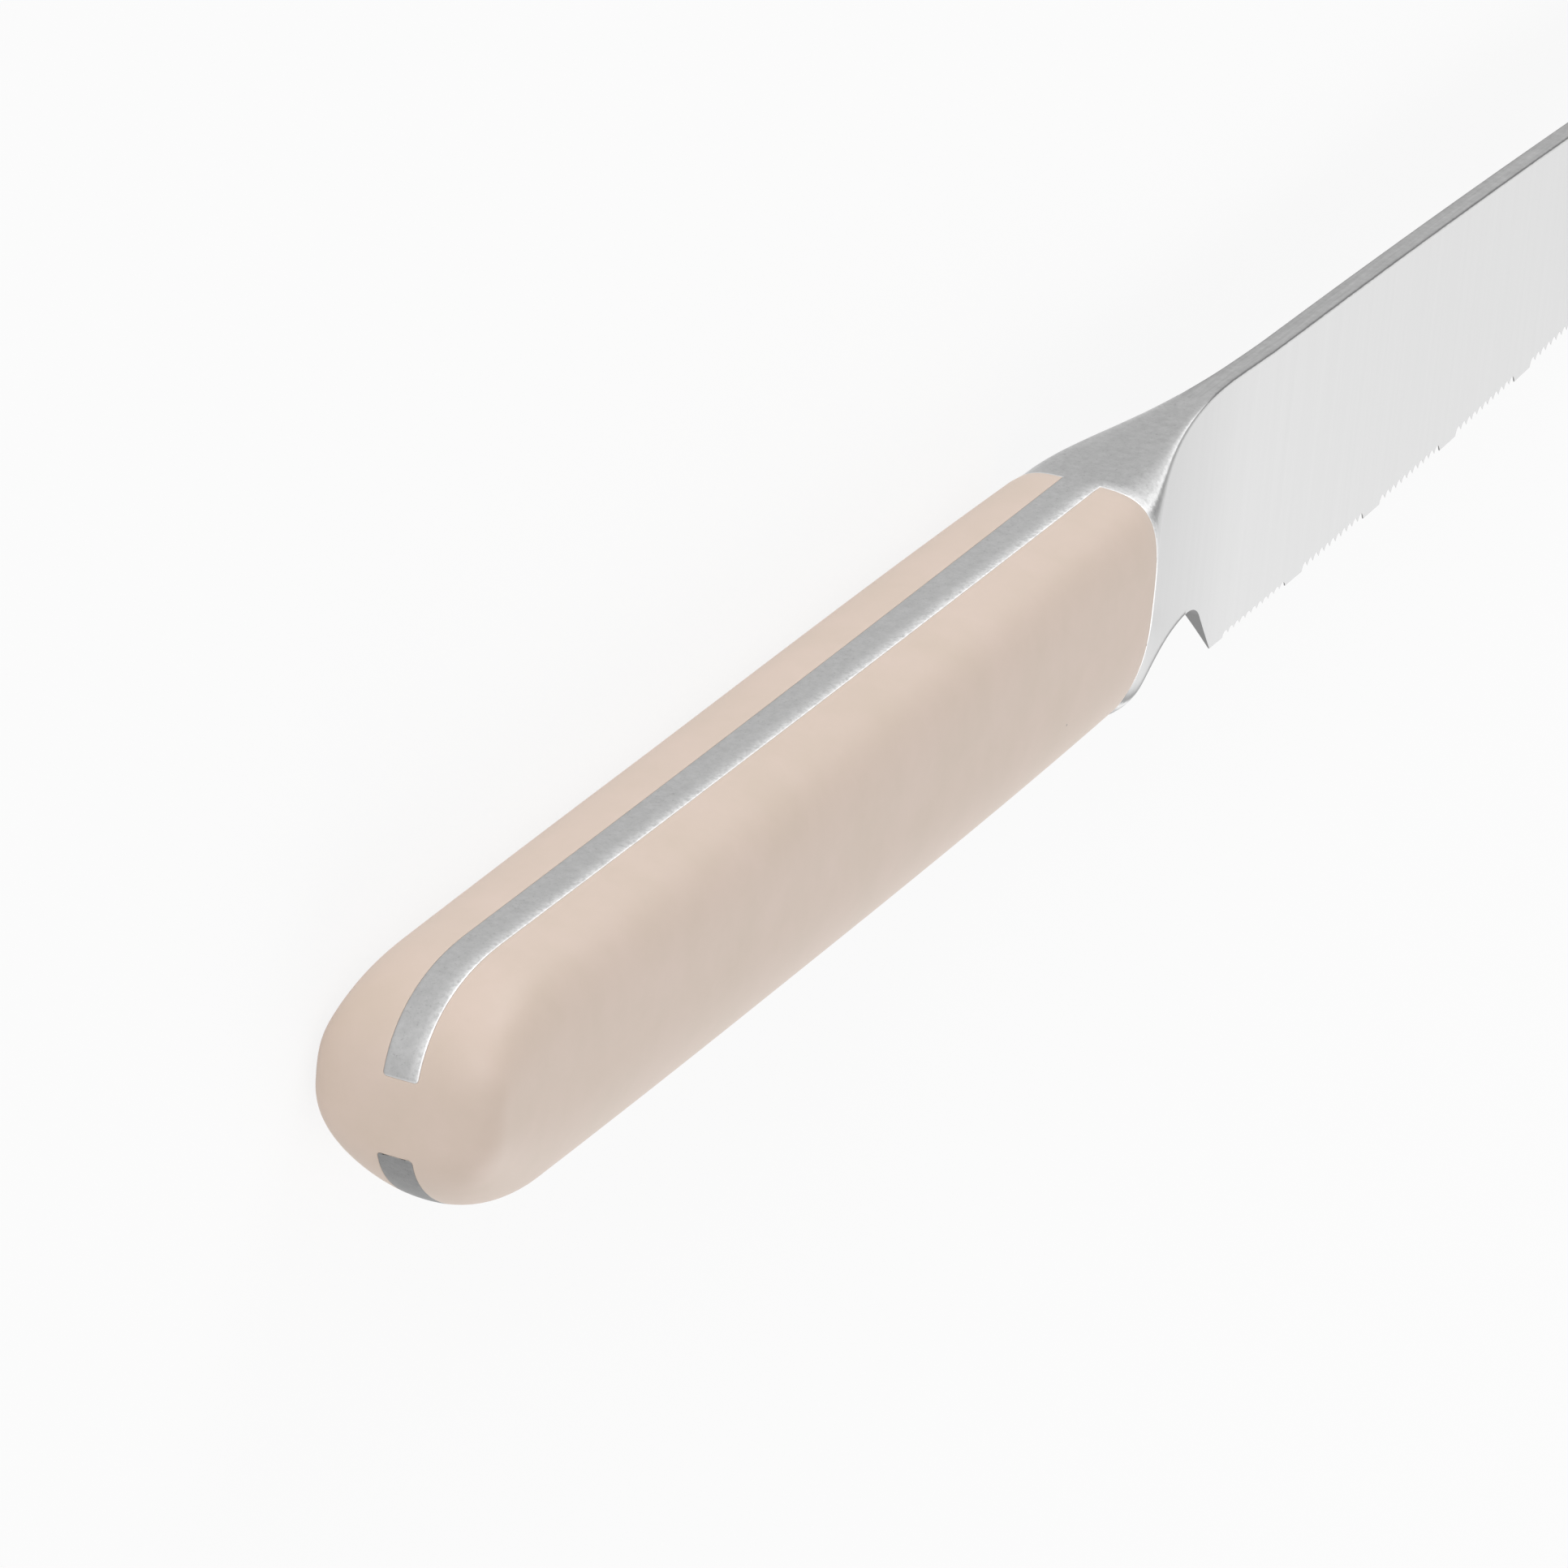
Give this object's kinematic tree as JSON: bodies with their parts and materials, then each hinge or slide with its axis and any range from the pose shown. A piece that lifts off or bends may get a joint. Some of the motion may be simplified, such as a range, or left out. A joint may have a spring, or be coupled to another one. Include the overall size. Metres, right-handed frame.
{
  "type": "serrated utility knife",
  "caption": "Kitchen utility knife with a serrated blade, a scooped bolster, a full tang and a moulded blush grip that leaves the tang showing as a metal strip along its back.",
  "frame": {"origin": "centre of the outline seen from above, on the surface that the knife lies on", "axes": "+X from the butt to the tip, +Y from the cutting edge to the spine, +Z out of the knife's right side: it lies on the left side of its grip"},
  "size_m": [0.2734, 0.0232, 0.0157],
  "materials": {
    "satin_steel": "fine satin, ground along its height, edge and teeth bare",
    "blasted_steel": "fine blasted, slightly pitted",
    "grip_plastic": "blush, satin as moulded"
  },
  "bodies": {
    "root": {"blade": "satin_steel", "bolster_tang": "blasted_steel", "handle_grip": "grip_plastic"}
  },
  "joints": []
}
